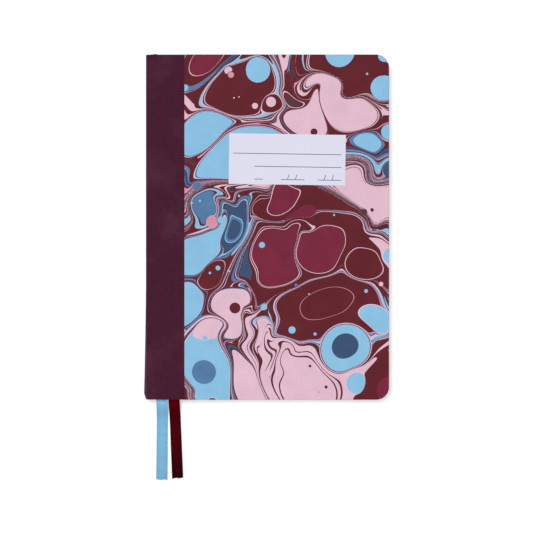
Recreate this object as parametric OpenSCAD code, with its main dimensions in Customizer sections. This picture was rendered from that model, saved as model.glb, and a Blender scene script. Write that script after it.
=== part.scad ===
// Hardback composition notebook, quarter bound in cloth, with marbled paper sides and two ribbons.
// It lies closed on its back cover. X runs from the spine to the fore edge, Y from the tail to the
// head, and Z upwards. The origin is the centre of the underside.

/* [Covers] */
// Width of a cover, from its spine edge to its fore edge
cover_w = 151; // [140:1:170]
// Height of a cover, from its tail to its head
cover_h = 215.5; // [200:0.5:240]
// Thickness of the board in a cover
board_t = 2; // [1.2:0.1:3]
// Radius of a cover's two fore edge corners
corner_r = 8; // [5:0.5:12]

/* [Covering] */
// Thickness of the cloth and of the marbled paper, which are pressed flush
skin_t = 0.3; // [0.2:0.05:0.4]
// Width of the cloth that shows on each cover
cloth_w = 23.3; // [16:0.1:40]
// Width of the strip where the paper laps over the cloth
lap_w = 3; // [2:0.5:6]
// Width of the cloth and the paper turned in over the inner face of a board
turn_in = 15; // [10:1:20]
// Thickness of the printed colour on the paper
ink_t = 0.06; // [0.04:0.01:0.1]

/* [Pages] */
// Thickness of all the pages together
pages_t = 11.5; // [9:0.5:20]
// How far a cover reaches past the pages at the head, the tail and the fore edge
square_w = 3; // [2:0.5:5]
// Thickness of an endpaper
endpaper_t = 0.15; // [0.1:0.01:0.25]
// Room left between each cover and the pages when the book is closed
closing_room = 0.1; // [0.05:0.05:0.2]

/* [Spine] */
// Thickness of the card inside the spine
spine_card_t = 1; // [0.6:0.1:1.5]
// Room between the spine card's outer face and a cover's edge, in which the joint folds
joint_gap = 0.8; // [0.7:0.1:1.6]
// Thickness of the lining glued to the back of the pages
lining_t = 0.55; // [0.5:0.05:0.8]
// Length at the head of the spine that the lining leaves to the ribbons' glued ends
ribbon_hold = 18; // [15:1:30]
// Length at the tail of the spine that the lining leaves bare
lining_short = 5; // [2:1:12]
// Width of a head band or tail band
band_w = 1.4; // [1:0.1:2]
// How far a head band or tail band stands out past the pages
band_h = 1.2; // [1:0.1:1.5]

/* [Label] */
// Width of the label
label_w = 72.7; // [50:0.1:90]
// Height of the label
label_h = 31.6; // [20:0.1:40]
// Thickness of the label
label_t = 0.1; // [0.08:0.01:0.2]
// Distance from the cloth to the label's left edge
label_from_cloth = 27.8; // [5:0.1:35]
// Distance from the head of the cover to the label's upper edge
label_from_head = 49.7; // [20:0.1:120]
// Angle by which the label was stuck on out of square
label_turn = -0.9; // [-2:0.1:2]
// Height of a ruled line's stroke
rule_w = 0.4; // [0.2:0.05:0.8]
// Margin from the label's edge to the ruled lines
rule_margin = 2.6; // [1:0.1:4]
// Distance between two ruled lines
rule_pitch = 8; // [6:0.1:9]
// Distance from the label's upper edge to the first ruled line
rule_top = 12.6; // [8:0.1:14]
// Length left for a heading in front of a ruled line
heading_w = 13.3; // [8:0.1:20]
// Height of the slashes in a blank for a date
slash_h = 3; // [2:0.1:4]

/* [Ribbons] */
// Width of a ribbon
ribbon_w = 7; // [5:0.5:8]
// Thickness of a ribbon
ribbon_t = 0.2; // [0.15:0.05:0.3]
// Room round a ribbon between the leaves
ribbon_room = 0.15; // [0.1:0.05:0.3]
// How far the blue ribbon reaches past the pages at the tail
blue_reach = 54.3; // [30:0.1:80]
// How far the red ribbon reaches past the pages at the tail
red_reach = 53.3; // [30:0.1:80]

/* [Hidden] */
$fn = 64;
cut = 1;

// Heights in a cover, counted outwards from its inner face
turn_z = endpaper_t;
board_z = turn_z + skin_t;
cover_t = board_z + board_t + skin_t;
lap_t = skin_t / 2;

// Heights in the closed book
back_z = cover_t;
pages_z = back_z + closing_room + endpaper_t;
pages_top = pages_z + pages_t;
front_z = pages_top + endpaper_t + closing_room;
book_t = front_z + cover_t;
spine_z = back_z + closing_room;
spine_top = front_z - closing_room;

// Places across the book
book_w = cover_w + joint_gap + skin_t;
spine_x = -book_w / 2;
hinge_x = spine_x + skin_t;
cover_x = hinge_x + joint_gap;
fore_x = cover_x + cover_w;
cloth_x = cover_x + cloth_w;
lap_x = cloth_x + lap_w;
hollow_x = hinge_x + spine_card_t;
lining_x = hollow_x + skin_t;
pages_x = lining_x + lining_t;

// Places along the book
head_y = cover_h / 2;
pages_y = head_y - square_w;

// Where the ribbons lie between the leaves: their height, and their place at the head and the tail
ribbon_head_x = pages_x + 5.3;
blue_tail_x = pages_x + 7.9;
red_tail_x = pages_x + 15.2;
blue_z = pages_z + 0.6 * pages_t;
red_z = pages_z + 0.4 * pages_t;

// Their glued ends lie side by side between the back of the pages and the turned in cloth
glue_room = (lining_t - 2 * ribbon_t) / 4;
blue_glued_x = pages_x - ribbon_t / 2 - glue_room;
red_glued_x = lining_x + ribbon_t / 2 + glue_room;
glued_y = pages_y - 0.875 * ribbon_hold;
glued_z = pages_z + pages_t / 2;
band_y = pages_y + band_h;

// Start of a ribbon's route: x, y, z, how far it is turned on edge in degrees, and its gathered
// width. It is glued upright to the back of the pages, and folds over the head band into the leaves.
blue_start = [
    [blue_glued_x, glued_y, glued_z, 90, ribbon_w],
    [blue_glued_x, pages_y - 1.75, glued_z, 90, ribbon_w],
    [blue_glued_x, band_y - 0.65, glued_z, 90, 0.8 * ribbon_w],
    [pages_x + 0.1, band_y + 0.4, blue_z - 1.1, 88, 0.63 * ribbon_w],
    [pages_x + band_w, band_y + 0.65, blue_z - 0.9, 78, 0.49 * ribbon_w],
    [pages_x + 2.7, band_y + 0.75, blue_z - 0.6, 60, 0.43 * ribbon_w],
    [pages_x + 3.9, band_y + 0.75, blue_z - 0.3, 35, 0.46 * ribbon_w],
    [pages_x + 4.8, band_y + 0.35, blue_z - 0.1, 14, 0.51 * ribbon_w],
    [pages_x + 5.2, pages_y + 0.65, blue_z, 0, 0.77 * ribbon_w],
];
red_start = [
    [red_glued_x, glued_y - 2, glued_z, 90, ribbon_w],
    [red_glued_x, pages_y - 1.75, glued_z, 90, ribbon_w],
    [red_glued_x, band_y - 0.55, glued_z, 90, 0.86 * ribbon_w],
    [pages_x, band_y + 0.95, red_z + 1, 88, 0.71 * ribbon_w],
    [pages_x + band_w - 0.1, band_y + 1.45, red_z + 0.8, 75, 0.6 * ribbon_w],
    [pages_x + 2.7, band_y + 1.45, red_z + 0.5, 55, 0.54 * ribbon_w],
    [pages_x + 4, band_y + 1.15, red_z + 0.2, 32, 0.54 * ribbon_w],
    [pages_x + 4.9, band_y + 0.45, red_z + 0.05, 12, 0.66 * ribbon_w],
    [pages_x + 5.2, pages_y + 0.75, red_z, 0, 0.86 * ribbon_w],
];

// Fall of a ribbon past the tail: how far past the pages, and how much of its height is left
fall = [
    [2.25, 0.99], [4.85, 0.91], [7.4, 0.74], [9.8, 0.51], [12.2, 0.28], [15.1, 0.1], [18.5, 0.02],
    [22.5, 0], [33, 0],
];
rest_z = ribbon_t / 2 + 0.05;

// Rest of a route: straight between the leaves, then down to what the book lies on, drifting aside
function leaf_run(tail_x, z) = [
    for (share = [0, 0.25, 0.5, 0.75, 1])
        let (x = ribbon_head_x + share * (tail_x - ribbon_head_x), y = pages_y - 0.4)
        [x, y - 2 * share * y, z, 0, ribbon_w]
];
function tail_run(tail_x, z, reach, drift) = [
    for (f = concat(fall, [[(33 + reach) / 2, 0], [reach, 0]]))
        [tail_x + drift * f[0] / reach, -pages_y - f[0], rest_z + f[1] * (z - rest_z), 0, ribbon_w]
];
blue_route = concat(
    blue_start, leaf_run(blue_tail_x, blue_z), tail_run(blue_tail_x, blue_z, blue_reach, -0.5)
);
red_route = concat(
    red_start, leaf_run(red_tail_x, red_z), tail_run(red_tail_x, red_z, red_reach, 2.2)
);

// Ink colours of the marbling. Where none of them lies, the paper's own ground shows.
BLUE = "#8cc1e2";
SLATE = "#5a80aa";
PINK = "#e3bed0";
PLUM = "#7b2a43";

// Drops of ink in the order they fall: colour, where the drop ends up across the paper and up it,
// and its radius, all as shares of the paper's visible width. Each drop pushes the earlier ones
// aside. The paper is pattern_h high in this measure, and follows the cover's real height.
drops = [
    [PINK, 0.67, 1.37, 0.3], [SLATE, 0.2, 1.22, 0.25], [BLUE, 0.2, 1.22, 0.22],
    [PINK, 0.32, 0.14, 0.28], [PINK, 0.88, 0.95, 0.2], [SLATE, 0.6, 0.8, 0.24],
    [PLUM, 0.5, 0.74, 0.15], [PLUM, 0.68, 0.75, 0.11], [PLUM, 0.11, 1.62, 0.12],
    [BLUE, 0.36, 1.6, 0.07], [SLATE, 0.08, 0.7, 0.11], [BLUE, 0.07, 0.71, 0.08],
    [BLUE, 0.01, 0.48, 0.1], [SLATE, 0.15, 0.19, 0.13], [BLUE, 0.15, 0.22, 0.1],
    [BLUE, 0.77, 1.68, 0.08], [BLUE, 0.97, 1.52, 0.07], [BLUE, 0.79, 0.26, 0.12],
    [SLATE, 0.79, 0.27, 0.07], [BLUE, 0.95, 0.38, 0.08], [BLUE, 0.84, 0.08, 0.055],
    [BLUE, 0.9, 1.25, 0.06], [SLATE, 1, 1.1, 0.06], [PLUM, 0.98, 0.04, 0.08],
];
drop_sides = 26;
pattern_h = 1.6876;
paper_size = [cover_w - cloth_w, cover_h / pattern_h];

// Outline of a layer of a cover from a given x to the fore edge, set in from the cover's own edges
module outline(from_x, inset) {
    r = corner_r - inset;
    x = fore_x - inset;
    y = head_y - inset;
    translate([from_x, -y]) square([x - r - from_x, 2 * y]);
    translate([from_x, r - y]) square([x - from_x, 2 * (y - r)]);
    for (side = [-1, 1]) translate([x - r, side * (y - r)]) circle(r);
}

// Layer of a cover between two heights
module layer(from_x, inset, z, top) {
    translate([0, 0, z]) linear_extrude(top - z) outline(from_x, inset);
}

// Box between two corners
module block(low, high) {
    translate(low) cube(high - low);
}

// Opening that the turned in edges leave on the inner face of a board, set in by some width
module window(z, top, inset = 0) {
    low_x = cover_x + skin_t + inset;
    high_x = fore_x - turn_in - inset;
    y = head_y - turn_in - inset;
    block([low_x, -y, z], [high_x, y, top]);
}

// Strip of the cloth that the paper laps over, at half the cloth's thickness
module lap_strip(from_x) {
    y = head_y - lap_t;
    block([from_x, -y, turn_z + lap_t], [lap_x, y, cover_t - lap_t]);
}

module cover_board() {
    layer(cover_x + skin_t, skin_t, board_z, board_z + board_t);
}

module cover_cloth() {
    difference() {
        union() {
            block([cover_x, -head_y, turn_z], [cloth_x, head_y, cover_t]);
            lap_strip(cloth_x - cut);
        }
        cover_board();
        window(turn_z - cut, board_z);
    }
}

module cover_paper() {
    difference() {
        layer(cloth_x, 0, turn_z, cover_t);
        lap_strip(cloth_x - cut);
        cover_board();
        window(turn_z - cut, board_z);
        translate([0, 0, cover_t - ink_t]) linear_extrude(ink_t + cut) inked();
    }
}

// Endpaper glued over the turned in edges, sunk onto the board inside them
module cover_pastedown() {
    difference() {
        union() {
            layer(cover_x, square_w, 0, endpaper_t);
            window(0, board_z);
        }
        window(-cut, board_z - endpaper_t, endpaper_t);
    }
}

// Point moved by a drop of radius r that falls at c, and the same move undone
function pushed(p, c, r) = c + (p - c) * sqrt(1 + r * r / ((p - c) * (p - c)));
function pulled(p, c, r) = let (d = (p - c) * (p - c)) d > r * r ? c + (p - c) * sqrt(1 - r * r / d) : p;

// Places where the drops have to fall, worked out from the last drop back. Each one undoes the
// pushes of the drops after it, whose places are in the list later, from the last one back.
function undone(p, later, k) = k < 0 ? p
    : undone(pulled(p, later[k], drops[len(drops) - len(later) + k][3]), later, k - 1);
function fallen(later) = let (i = len(drops) - len(later) - 1)
    i < 0 ? later : fallen(concat([undone([drops[i][1], drops[i][2]], later, len(later) - 1)], later));
FALLS = fallen([]);

// Outline of drop i once all the later drops have pushed it
function spread(p, k) = k == len(drops) ? p : spread(pushed(p, FALLS[k], drops[k][3]), k + 1);
function drop_edge(i) = [
    for (k = [0 : drop_sides - 1])
        let (a = 360 * k / drop_sides) spread(FALLS[i] + drops[i][3] * [cos(a), sin(a)], i + 1)
];

module drop(i) {
    polygon([
        for (p = drop_edge(i)) [cloth_x + paper_size.x * p.x, paper_size.y * p.y - head_y]
    ]);
}

// All the paper that some ink covers
module inked() {
    intersection() {
        outline(cloth_x, 0);
        union() for (i = [0 : len(drops) - 1]) drop(i);
    }
}

// Field of one ink: its drops, less the drops of other inks that fell on them later
module ink_field(ink) {
    intersection() {
        outline(cloth_x, 0);
        for (i = [0 : len(drops) - 1]) if (drops[i][0] == ink) difference() {
            drop(i);
            for (k = [i + 1 : 1 : len(drops) - 1]) if (drops[k][0] != ink) drop(k);
        }
    }
}

module print(ink) {
    color(ink) translate([0, 0, cover_t - ink_t]) linear_extrude(ink_t) ink_field(ink);
}

// A cover is modelled with its inner face at height 0, and then laid on the pages or under them
module on_front() {
    translate([0, 0, front_z]) children();
}

module on_back() {
    translate([0, 0, back_z]) mirror([0, 0, 1]) children();
}

// Direction of a ribbon at point i of its route
function along(route, i) = let (
    before = route[max(i - 1, 0)],
    after = route[min(i + 1, len(route) - 1)],
    step = [after.x - before.x, after.y - before.y, after.z - before.z]
) step / norm(step);

// Direction of a ribbon's width there, turned on edge by the route's fourth value
function across(route, i) = let (t = along(route, i), turned = route[i][3])
    cos(turned) * [-t.y, t.x, 0] / norm([t.x, t.y]) + sin(turned) * [0, 0, 1];

// Four corners of a ribbon's section at point i
function section(route, i) = let (
    p = [route[i].x, route[i].y, route[i].z],
    side = across(route, i) * route[i][4] / 2,
    up = cross(along(route, i), across(route, i)) * ribbon_t / 2
) [p + side + up, p - side + up, p - side - up, p + side - up];

module ribbon(route) {
    last = len(route) - 1;
    corners = [for (i = [0 : last]) each section(route, i)];
    sides = [
        for (i = [0 : last - 1], k = [0 : 3])
            let (a = 4 * i + k, b = 4 * i + (k + 1) % 4) each [[a, b + 4, b], [a, a + 4, b + 4]]
    ];
    end = 4 * last;
    ends = [[0, 1, 2], [0, 2, 3], [end, end + 2, end + 1], [end, end + 3, end + 2]];
    polyhedron(corners, concat(sides, ends));
}

// Room that a ribbon leaves between the leaves, from the head to the tail
module ribbon_slot(tail_x, z) {
    half = ribbon_w / 2 + ribbon_room;
    y = pages_y + cut;
    translate([0, 0, z - ribbon_t / 2 - ribbon_room]) linear_extrude(ribbon_t + 2 * ribbon_room)
        polygon([
            [ribbon_head_x - half, y], [ribbon_head_x + half, y], [tail_x + half, -y], [tail_x - half, -y],
        ]);
}

module page_block() {
    color("ivory") difference() {
        layer(pages_x, square_w, pages_z, pages_top);
        ribbon_slot(blue_tail_x, blue_z);
        ribbon_slot(red_tail_x, red_z);
    }
}

module front_flyleaf() {
    color("linen") layer(pages_x, square_w, pages_top, pages_top + endpaper_t);
}

module back_flyleaf() {
    color("linen") layer(pages_x, square_w, pages_z - endpaper_t, pages_z);
}

module spine_lining() {
    color("tan")
        block([lining_x, lining_short - pages_y, pages_z], [pages_x, pages_y - ribbon_hold, pages_top]);
}

// Rounded roll that stands on the end of the pages beside their back
module band() {
    color("maroon") translate([pages_x, pages_y, pages_z]) linear_extrude(pages_t) {
        square([band_w, band_h - band_w / 2]);
        intersection() {
            square([band_w, band_h]);
            translate([band_w / 2, band_h - band_w / 2]) circle(band_w / 2);
        }
    }
}

module head_band() {
    band();
}

module tail_band() {
    mirror([0, 1, 0]) band();
}

module spine_card() {
    y = head_y - skin_t;
    color("silver") block([hinge_x, -y, spine_z], [hollow_x, y, spine_top]);
}

// Cloth over the outside of the spine card, turned in over it at the head and the tail
module spine_cloth() {
    color("#4a2236") translate([0, 0, spine_z]) linear_extrude(spine_top - spine_z) {
        translate([spine_x, -head_y]) square([skin_t, cover_h]);
        for (side = [0, 1]) mirror([0, side]) {
            translate([spine_x, head_y - skin_t]) square([lining_x - spine_x, skin_t]);
            translate([hollow_x, head_y - turn_in]) square([skin_t, turn_in]);
        }
    }
}

module front_board() {
    color("silver") on_front() cover_board();
}

module front_cloth() {
    color("#4a2236") on_front() cover_cloth();
}

module front_paper() {
    color("#64252e") on_front() cover_paper();
}

module front_pastedown() {
    color("linen") on_front() cover_pastedown();
}

module back_board() {
    color("silver") on_back() cover_board();
}

module back_cloth() {
    color("#4a2236") on_back() cover_cloth();
}

module back_paper() {
    color("#64252e") on_back() cover_paper();
}

module back_pastedown() {
    color("linen") on_back() cover_pastedown();
}

// Places things on the face of the label, counted from its lower left corner
module on_label(z) {
    corner = [cloth_x + label_from_cloth, head_y - label_from_head - label_h];
    translate([corner.x, corner.y, book_t + z]) translate([label_w / 2, label_h / 2]) rotate(label_turn)
        translate([-label_w / 2, -label_h / 2]) children();
}

// Ruled line of the label between two places across it, on a row counted from the first line down
module rule(from_x, to_x, row) {
    translate([from_x, label_h - rule_top - row * rule_pitch]) square([to_x - from_x, rule_w]);
}

// Blank for a date: a ruled line with two slashes that stand on it
module date_blank(from_x, to_x, row) {
    rule(from_x, to_x, row);
    lean = slash_h / 3;
    third = (to_x - from_x) / 3;
    y = label_h - rule_top - row * rule_pitch + rule_w;
    for (k = [1, 2]) translate([from_x + k * third - lean, y])
        polygon([[0, 0], [rule_w, 0], [rule_w + lean, slash_h], [lean, slash_h]]);
}

module label() {
    color("lavender") on_label(0) linear_extrude(label_t) square([label_w, label_h]);
}

// Generic ruling of a name label: a full line, a shorter one, and a row of a number and two dates
module label_ruling() {
    left = rule_margin;
    right = label_w - rule_margin;
    first = left + heading_w;
    date_w = (right - first) * 0.27;
    number_w = (right - first) * 0.1;
    color("dimgray") on_label(label_t) linear_extrude(ink_t) {
        rule(left, right, 0);
        rule(first, right, 1);
        rule(first, first + number_w, 2);
        date_blank(first + number_w + heading_w * 0.85, first + number_w + heading_w * 0.85 + date_w, 2);
        date_blank(right - date_w, right, 2);
    }
}

page_block();
front_flyleaf();
back_flyleaf();
spine_lining();
head_band();
tail_band();
spine_card();
spine_cloth();
front_board();
front_cloth();
front_paper();
front_pastedown();
on_front() print(BLUE);  // front_print_blue
on_front() print(SLATE);  // front_print_slate
on_front() print(PINK);  // front_print_pink
on_front() print(PLUM);  // front_print_plum
label();
label_ruling();
back_board();
back_cloth();
back_paper();
back_pastedown();
on_back() print(BLUE);  // back_print_blue
on_back() print(SLATE);  // back_print_slate
on_back() print(PINK);  // back_print_pink
on_back() print(PLUM);  // back_print_plum
color("#75b3d9") ribbon(blue_route);  // blue_ribbon
color("#4f0412") ribbon(red_route);  // red_ribbon
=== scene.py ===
import math

import bpy
import numpy as np
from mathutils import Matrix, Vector
from mathutils.geometry import delaunay_2d_cdt

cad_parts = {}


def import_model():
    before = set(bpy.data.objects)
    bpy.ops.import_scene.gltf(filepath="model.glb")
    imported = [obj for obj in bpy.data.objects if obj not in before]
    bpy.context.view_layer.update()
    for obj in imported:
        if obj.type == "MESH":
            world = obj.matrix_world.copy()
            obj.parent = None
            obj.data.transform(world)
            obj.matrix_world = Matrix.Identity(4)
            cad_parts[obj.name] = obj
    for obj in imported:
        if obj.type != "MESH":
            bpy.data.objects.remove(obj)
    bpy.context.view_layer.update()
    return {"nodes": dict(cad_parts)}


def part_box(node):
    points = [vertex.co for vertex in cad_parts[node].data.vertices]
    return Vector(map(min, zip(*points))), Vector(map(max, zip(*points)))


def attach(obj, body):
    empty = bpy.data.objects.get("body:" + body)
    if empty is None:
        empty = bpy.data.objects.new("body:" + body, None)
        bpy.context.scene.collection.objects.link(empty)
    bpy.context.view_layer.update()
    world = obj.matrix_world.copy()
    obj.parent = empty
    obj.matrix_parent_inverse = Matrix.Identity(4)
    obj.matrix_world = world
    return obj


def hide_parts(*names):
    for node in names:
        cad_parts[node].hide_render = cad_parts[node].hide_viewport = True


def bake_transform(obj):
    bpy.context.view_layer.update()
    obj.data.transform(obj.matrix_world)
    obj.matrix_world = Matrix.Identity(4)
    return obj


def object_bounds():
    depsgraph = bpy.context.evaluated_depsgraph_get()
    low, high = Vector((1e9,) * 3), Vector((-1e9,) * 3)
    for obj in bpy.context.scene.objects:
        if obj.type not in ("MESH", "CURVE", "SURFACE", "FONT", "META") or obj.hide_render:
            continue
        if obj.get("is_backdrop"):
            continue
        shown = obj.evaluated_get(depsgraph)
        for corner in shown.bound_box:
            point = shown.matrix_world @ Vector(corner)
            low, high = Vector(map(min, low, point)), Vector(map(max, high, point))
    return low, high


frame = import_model()

MM = 0.001


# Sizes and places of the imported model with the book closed, in millimetres

def corners(node):
    """Lowest and highest corner of a node's box."""
    low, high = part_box(node)
    return [v / MM for v in low], [v / MM for v in high]


PAPER_LOW, PAPER_HIGH = corners("front_paper")
CLOTH_LOW, CLOTH_HIGH = corners("front_cloth")
PAGES_LOW, PAGES_HIGH = corners("page_block")
SPINE_FACE = corners("spine_card")[0][0]
LINING_X = corners("spine_lining")[0][0]
PASTEDOWN_Z = corners("front_pastedown")[0][2]

# Across a cover: its edge at the spine, the paper's edge, the end of the cloth's lap, and the fore edge
COVER_X, CLOTH_X, LAP_X, FORE_X = CLOTH_LOW[0], PAPER_LOW[0], CLOTH_HIGH[0], PAPER_HIGH[0]
HEAD_Y = PAPER_HIGH[1]
PAGES_X, PAGES_Y = PAGES_LOW[0], PAGES_HIGH[1]
PAGES_Z, PAGES_TOP = PAGES_LOW[2], PAGES_HIGH[2]
PAGES_T = PAGES_TOP - PAGES_Z
BOOK_T = PAPER_HIGH[2]
MID_Z = BOOK_T / 2
TURN_DEPTH = PAPER_HIGH[2] - PAPER_LOW[2]
CORNER_R = 8.0
TURN_IN = 15.0
RIBBON_W, RIBBON_T = 7.0, 0.2

# How far a cover stands past the pages, and the fore edge and corners of the pages inside it
SQUARE = HEAD_Y - PAGES_Y
PAGES_FORE, PAGES_R = FORE_X - SQUARE, CORNER_R - SQUARE

# The two covers, and which way each lies from the middle of the book
SIDES = ("front", 1), ("back", -1)


# Camera, looking straight down: its place over the front cover, and the width that it sees there

CAMERA_X, CAMERA_Y = -0.44, -24.6
CAMERA_UP = 1500
SEEN = 332.6


def add_camera():
    data = bpy.data.cameras.new("camera")
    data.sensor_width = 36
    data.lens = data.sensor_width * CAMERA_UP / SEEN
    camera = bpy.data.objects.new("camera", data)
    camera.location = (CAMERA_X * MM, CAMERA_Y * MM, (BOOK_T + CAMERA_UP) * MM)
    bpy.context.scene.collection.objects.link(camera)
    bpy.context.scene.camera = camera


add_camera()


# Helpers for meshes

def link_mesh(name, verts, faces, materials, uvs=None, marks=None, sharp=None):
    """New object from points in millimetres; uvs holds one pair a vertex, marks one material a face.
    Shading is flat, or smooth except at edges sharper than a number of degrees."""
    mesh = bpy.data.meshes.new(name)
    mesh.from_pydata([Vector(v) * MM for v in verts], [], faces)
    if uvs is not None:
        layer = mesh.uv_layers.new(name="cloth")
        for loop in mesh.loops:
            layer.data[loop.index].uv = uvs[loop.vertex_index]
    if marks is not None:
        mesh.polygons.foreach_set("material_index", marks)
    mesh.update()
    for material in materials:
        mesh.materials.append(material)
    if sharp is not None:
        mesh.polygons.foreach_set("use_smooth", [True] * len(mesh.polygons))
        mesh.set_sharp_from_angle(angle=math.radians(sharp))
    obj = bpy.data.objects.new(name, mesh)
    bpy.context.scene.collection.objects.link(obj)
    return obj


def grid_faces(rows, columns, closed=False, flip=False):
    """Faces between rows of points. Closed joins the end of each row to its start."""
    faces = []
    for i in range(rows - 1):
        for j in range(columns if closed else columns - 1):
            k = (j + 1) % columns
            face = [i * columns + j, i * columns + k, (i + 1) * columns + k, (i + 1) * columns + j]
            faces.append(face[::-1] if flip else face)
    return faces


def thicken(obj, thickness, offset):
    """Thickness in millimetres, behind the surface for offset -1 and half on each side for 0."""
    solid = obj.modifiers.new("thickness", "SOLIDIFY")
    solid.thickness = thickness * MM
    solid.offset = offset


def ramp(low, high, x):
    """0 below low, 1 above high and a smooth rise between them."""
    t = min(max((x - low) / (high - low), 0), 1)
    return t * t * (3 - 2 * t)


# Helpers for materials

def linear(colour):
    """Linear colour of one written in 0 to 255."""
    shares = [v / 255 for v in colour]
    return [c / 12.92 if c <= 0.04045 else ((c + 0.055) / 1.055) ** 2.4 for c in shares] + [1]


class Nodes:
    """The node tree of a material or world, and short ways to add to it."""

    def __init__(self, owner):
        owner.use_nodes = True
        self.nodes, self.links = owner.node_tree.nodes, owner.node_tree.links

    def add(self, kind, settings=None, **inputs):
        node = self.nodes.new("ShaderNode" + kind)
        for key, value in (settings or {}).items():
            setattr(node, key, value)
        for key, value in inputs.items():
            self.put(node, key.replace("_", " "), value)
        return node

    def put(self, node, key, value):
        """Link or set a node's socket, given by its name or its number."""
        socket = node.inputs[key]
        if isinstance(value, bpy.types.NodeSocket):
            self.links.new(value, socket)
        else:
            socket.default_value = value

    def math(self, operation, a, b=0.0, clamp=False):
        node = self.add("Math", {"operation": operation, "use_clamp": clamp})
        self.put(node, 0, a)
        self.put(node, 1, b)
        return node.outputs[0]

    def range(self, value, low, high, from_low, from_high):
        """A value between from_low and from_high, mapped to low and high."""
        return self.add("MapRange", Value=value, From_Min=from_low, From_Max=from_high, To_Min=low,
                        To_Max=high).outputs["Result"]

    def straight_ray(self):
        """1 for rays from the camera, a mirror or glass, and 0 for the soft light on the book."""
        rays = self.add("LightPath").outputs
        seen = self.math("ADD", rays["Is Camera Ray"], rays["Is Glossy Ray"], clamp=True)
        return self.math("ADD", seen, rays["Is Transmission Ray"], clamp=True)


class Shader(Nodes):
    """A principled material."""

    def __init__(self, name, roughness, **sockets):
        self.material = bpy.data.materials.new(name)
        super().__init__(self.material)
        self.surface = self.nodes["Principled BSDF"]
        for socket, value in {"Roughness": roughness, **sockets}.items():
            self.put(self.surface, socket.replace("_", " "), value)

    def place(self, kind="Object", scale=(1, 1, 1)):
        """Coordinates of the object or of its cloth map, scaled."""
        where = self.add("TexCoord").outputs[kind]
        return self.add("Mapping", Vector=where, Scale=scale).outputs["Vector"]

    def noise(self, where, scale, detail):
        return self.add("TexNoise", Vector=where, Scale=scale, Detail=detail).outputs["Fac"]

    def wave(self, where, scale, direction, distortion=0.0, detail_scale=1.0):
        return self.add("TexWave", {"bands_direction": direction}, Vector=where, Scale=scale,
                        Distortion=distortion, Detail_Scale=detail_scale).outputs["Fac"]

    def mix(self, factor, a, b):
        node = self.add("Mix", {"data_type": "RGBA"})
        for key, value in ((0, factor), (6, a), (7, b)):
            self.put(node, key, value)
        return node.outputs[2]

    def shade(self, colour, value):
        """Colour made lighter or darker by a value round 1."""
        return self.add("HueSaturation", Value=value, Color=colour).outputs["Color"]

    def finish(self, colour, height, depth):
        """The material, with its colour and a bump of some depth in metres."""
        bump = self.add("Bump", Height=height, Distance=depth)
        self.put(self.surface, "Base Color", colour)
        self.put(self.surface, "Normal", bump.outputs["Normal"])
        return self.material


# A larger scale makes a finer noise or wave. A noise lies mostly in NOISE_SPAN.
NOISE_SPAN = 0.3, 0.7


def paper(name, colour, mottle, speck, roughness, grain=0.00003, cloudy=90, specular=0.12):
    """Matt paper with cloudy tone, fine specks and a soft tooth, grain metres deep."""
    speck_scale, tooth_scale = 1500, 2600
    s = Shader(name, roughness, Specular_IOR_Level=specular)
    where = s.place()
    clouds = s.range(s.noise(where, cloudy, 4), 1 - mottle, 1 + mottle, *NOISE_SPAN)
    specks = s.range(s.noise(where, speck_scale, 2), 1 - speck, 1 + speck, *NOISE_SPAN)
    tone = s.math("MULTIPLY", clouds, specks)
    tooth = s.noise(where, tooth_scale, 3)
    return s.finish(s.shade(linear(colour), tone), tooth, grain)


def book_cloth(name, colour, light, dark):
    """Plain weave: threads along both ways of the cloth map, with slubs, worn high points and painted
    shade where the threads lie low.
    """
    warp_scale, weft_scale, slub_across, slub_along = 350, 330, 900, 140
    bend, bend_scale = 0.6, 3
    s = Shader(name, 0.75, Specular_IOR_Level=0.05, Sheen_Weight=0.04, Sheen_Roughness=0.4)
    s.put(s.surface, "Sheen Tint", linear((205, 180, 200)))
    where = s.place("UV")
    warp = s.wave(where, warp_scale, "X", bend, bend_scale)
    weft = s.wave(where, weft_scale, "Y", bend, bend_scale)
    over = s.math("MULTIPLY", s.math("MAXIMUM", warp, weft), 0.7)
    warp_slubs = s.noise(s.place("UV", (slub_across, slub_along, 1)), 1, 3)
    weft_slubs = s.noise(s.place("UV", (slub_along, slub_across, 1)), 1, 3)
    slubs = s.math("MULTIPLY", s.math("ADD", warp_slubs, weft_slubs), 0.35)
    height = s.math("ADD", over, slubs)
    # Painted shade in the weave: where the threads lie low, the colour is mixed towards dark.
    base = s.mix(s.range(height, 0, 1, 0.45, 1.1), linear(dark), linear(colour))
    worn = s.range(s.noise(s.place(), 45, 4), 0, 0.35, 0.5, 0.75)
    base = s.mix(worn, base, linear(light))
    tone = s.range(s.noise(where, warp_scale, 2), 0.94, 1.06, *NOISE_SPAN)
    return s.finish(s.shade(base, tone), height, 0.00006)


# Stretches of a ribbon in metres from its glued end: just past the cover, lightened by painted light
# where the cover's shadow falls, and towards the cut end, darkened by painted shade
PAINTED_LIGHT_STRETCH = 0.241, 0.252
PAINTED_SHADE_STRETCH = 0.268, 0.291


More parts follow.
